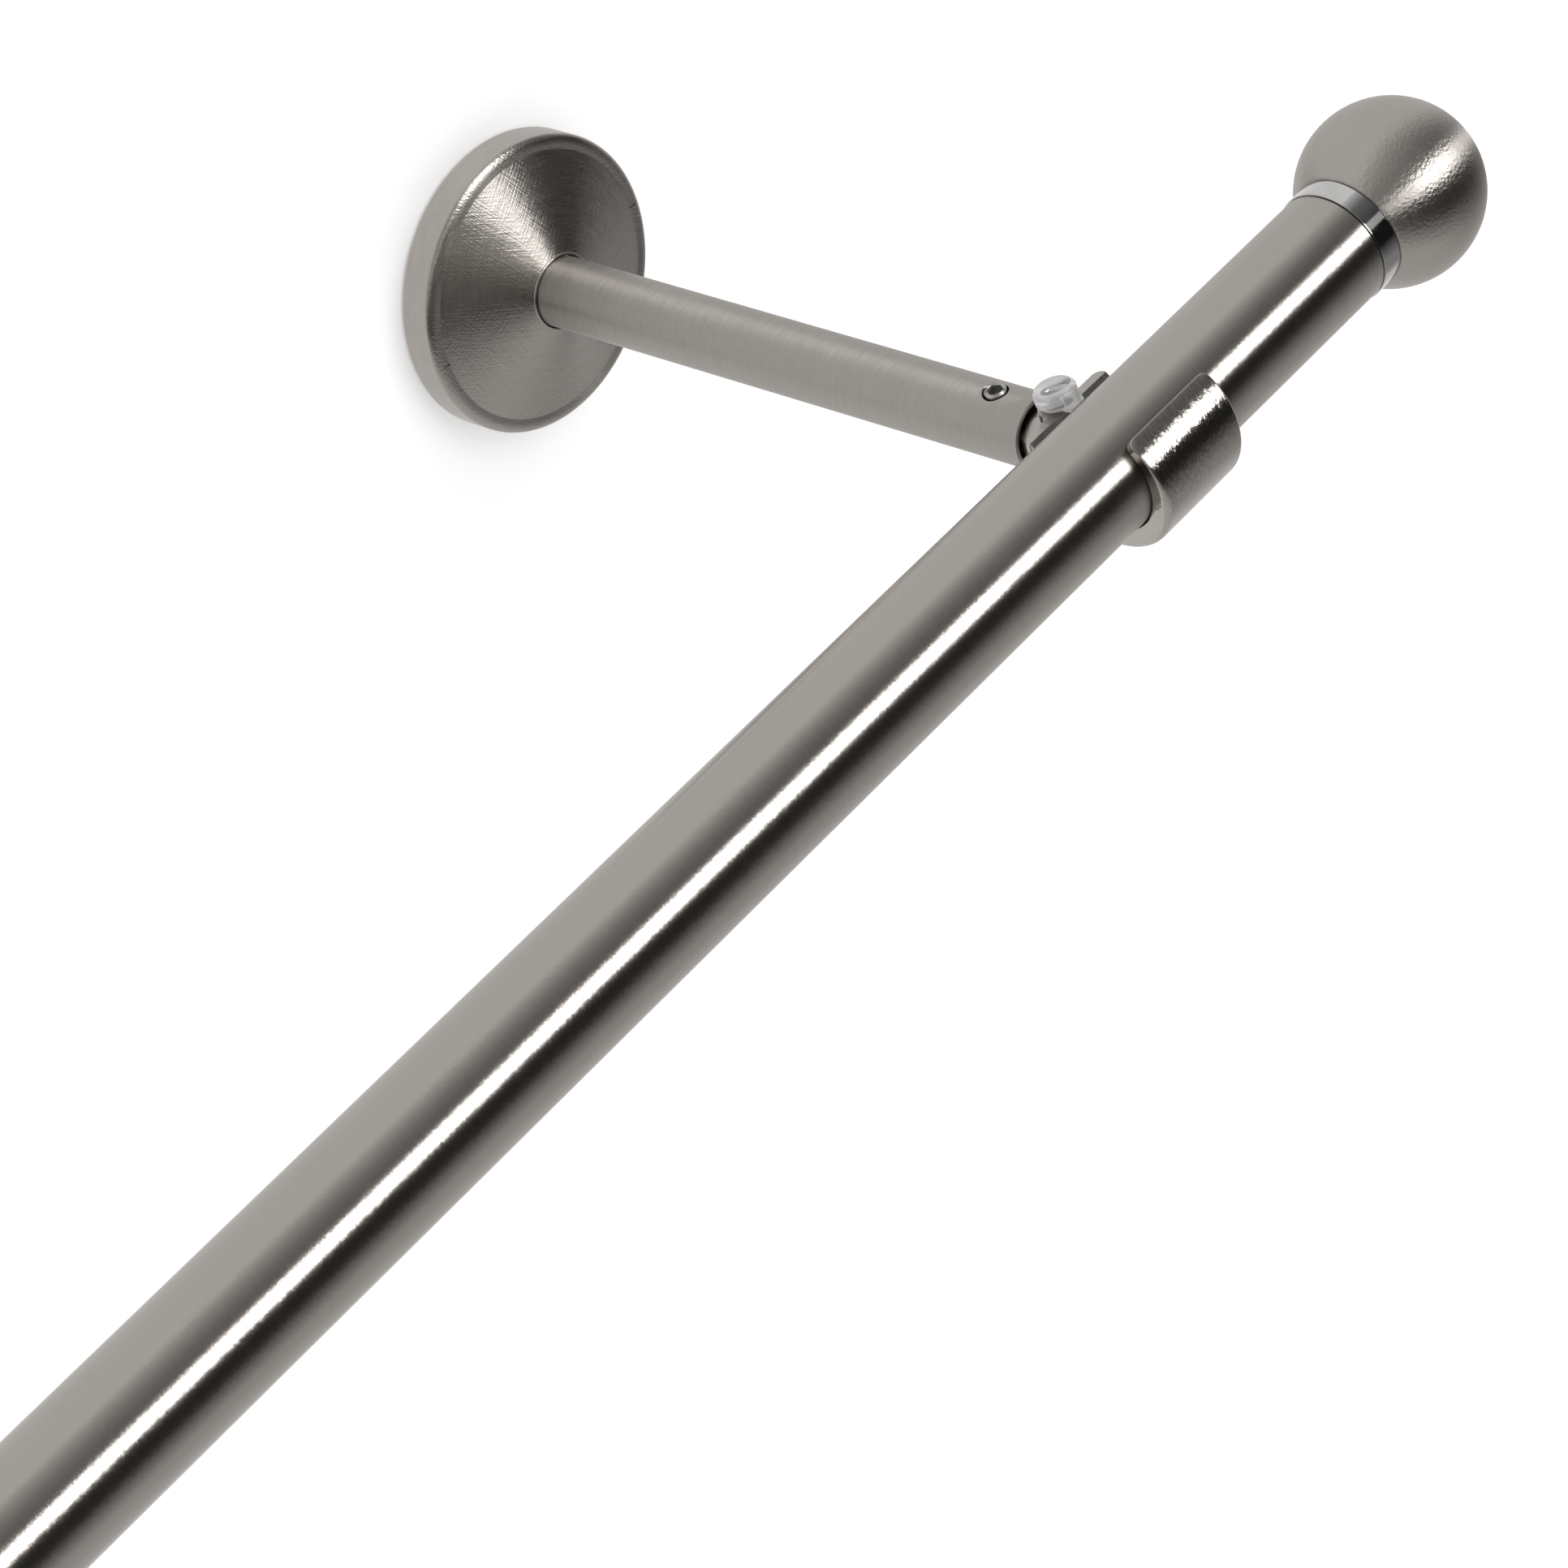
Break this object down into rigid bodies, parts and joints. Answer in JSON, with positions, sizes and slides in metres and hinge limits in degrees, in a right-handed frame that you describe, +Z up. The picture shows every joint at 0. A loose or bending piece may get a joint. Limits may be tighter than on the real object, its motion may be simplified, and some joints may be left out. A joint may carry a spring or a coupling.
{
  "type": "curtain rod with brackets",
  "caption": "Round satin metal curtain rod with ball finials, carried off the wall by two rosette-based brackets with hook-shaped rod holders.",
  "frame": {"origin": "middle of the whole object: halfway along the rod, halfway from the wall to the front of the ball finials, level with the arms' axes", "axes": "+X along the rod to its right end seen from the room, +Y to the wall, +Z up"},
  "size_m": [1.2506, 0.1254, 0.0424],
  "materials": {
    "satin_nickel": "fine brushed satin nickel, brushed round the tube",
    "cast_nickel": "smooth satin nickel plating on a casting",
    "polished_chrome": "mirror polished",
    "clear_plastic": "clear, moulded, glossy",
    "zinc_steel": "zinc plated",
    "grey_nylon": "moulded, matt"
  },
  "bodies": {
    "wall_brackets": {"wall_plate_right": "zinc_steel", "plate_bolt_right": "zinc_steel", "arm_insert_right": "zinc_steel", "arm_tube_right": "satin_nickel", "wall_plate_left": "zinc_steel", "plate_bolt_left": "zinc_steel", "arm_insert_left": "zinc_steel", "arm_tube_left": "satin_nickel"},
    "cover_right": {"rosette_cover_right": "satin_nickel"},
    "cover_left": {"rosette_cover_left": "satin_nickel"},
    "set_screw_right": {"set_screw_right": "zinc_steel"},
    "set_screw_left": {"set_screw_left": "zinc_steel"},
    "holder_right": {"rod_holder_right": "cast_nickel"},
    "holder_left": {"rod_holder_left": "cast_nickel"},
    "clamp_screw_right": {"clamp_screw_right": "clear_plastic"},
    "clamp_screw_left": {"clamp_screw_left": "clear_plastic"},
    "rod": {"rod_tube": "satin_nickel"},
    "finial_right": {"finial_ball_right": "satin_nickel", "finial_ring_right": "polished_chrome", "finial_plug_right": "grey_nylon", "finial_screw_right": "zinc_steel"},
    "finial_left": {"finial_ball_left": "satin_nickel", "finial_ring_left": "polished_chrome", "finial_plug_left": "grey_nylon", "finial_screw_left": "zinc_steel"}
  },
  "joints": [
    {"name": "cover_slide_right", "type": "slide", "parent": "wall_brackets", "child": "cover_right", "axis": [0, -1, 0], "range_m": [0, 0.075]},
    {"name": "cover_slide_left", "type": "slide", "parent": "wall_brackets", "child": "cover_left", "axis": [0, -1, 0], "range_m": [0, 0.075]},
    {"name": "set_screw_turn_right", "type": "hinge", "parent": "wall_brackets", "child": "set_screw_right", "pos_m": [0.558, -0.02755, 0], "axis": [0, 0, 1], "range_deg": [0, 360]},
    {"name": "set_screw_turn_left", "type": "hinge", "parent": "wall_brackets", "child": "set_screw_left", "pos_m": [-0.558, -0.02755, 0], "axis": [0, 0, 1], "range_deg": [0, 360]},
    {"name": "projection_right", "type": "slide", "parent": "wall_brackets", "child": "holder_right", "axis": [0, -1, 0], "range_m": [-0.0015, 0.015]},
    {"name": "projection_left", "type": "slide", "parent": "wall_brackets", "child": "holder_left", "axis": [0, -1, 0], "range_m": [-0.0015, 0.015]},
    {"name": "clamp_turn_right", "type": "hinge", "parent": "holder_right", "child": "clamp_screw_right", "pos_m": [0.558, -0.0385, 0.0058], "axis": [0, 0.1045, 0.9945], "range_deg": [0, 540]},
    {"name": "clamp_turn_left", "type": "hinge", "parent": "holder_left", "child": "clamp_screw_left", "pos_m": [-0.558, -0.0385, 0.0058], "axis": [0, 0.1045, 0.9945], "range_deg": [0, 540]},
    {"name": "rod_slide", "type": "slide", "parent": "holder_right", "child": "rod", "axis": [1, 0, 0], "range_m": [-0.03, 0.03]},
    {"name": "finial_pull_right", "type": "slide", "parent": "rod", "child": "finial_right", "axis": [1, 0, 0], "range_m": [0, 0.019]},
    {"name": "finial_pull_left", "type": "slide", "parent": "rod", "child": "finial_left", "axis": [-1, 0, 0], "range_m": [0, 0.019]}
  ],
  "couplings": [
    {"joint": "projection_left", "follows": "projection_right", "ratio": 1}
  ]
}
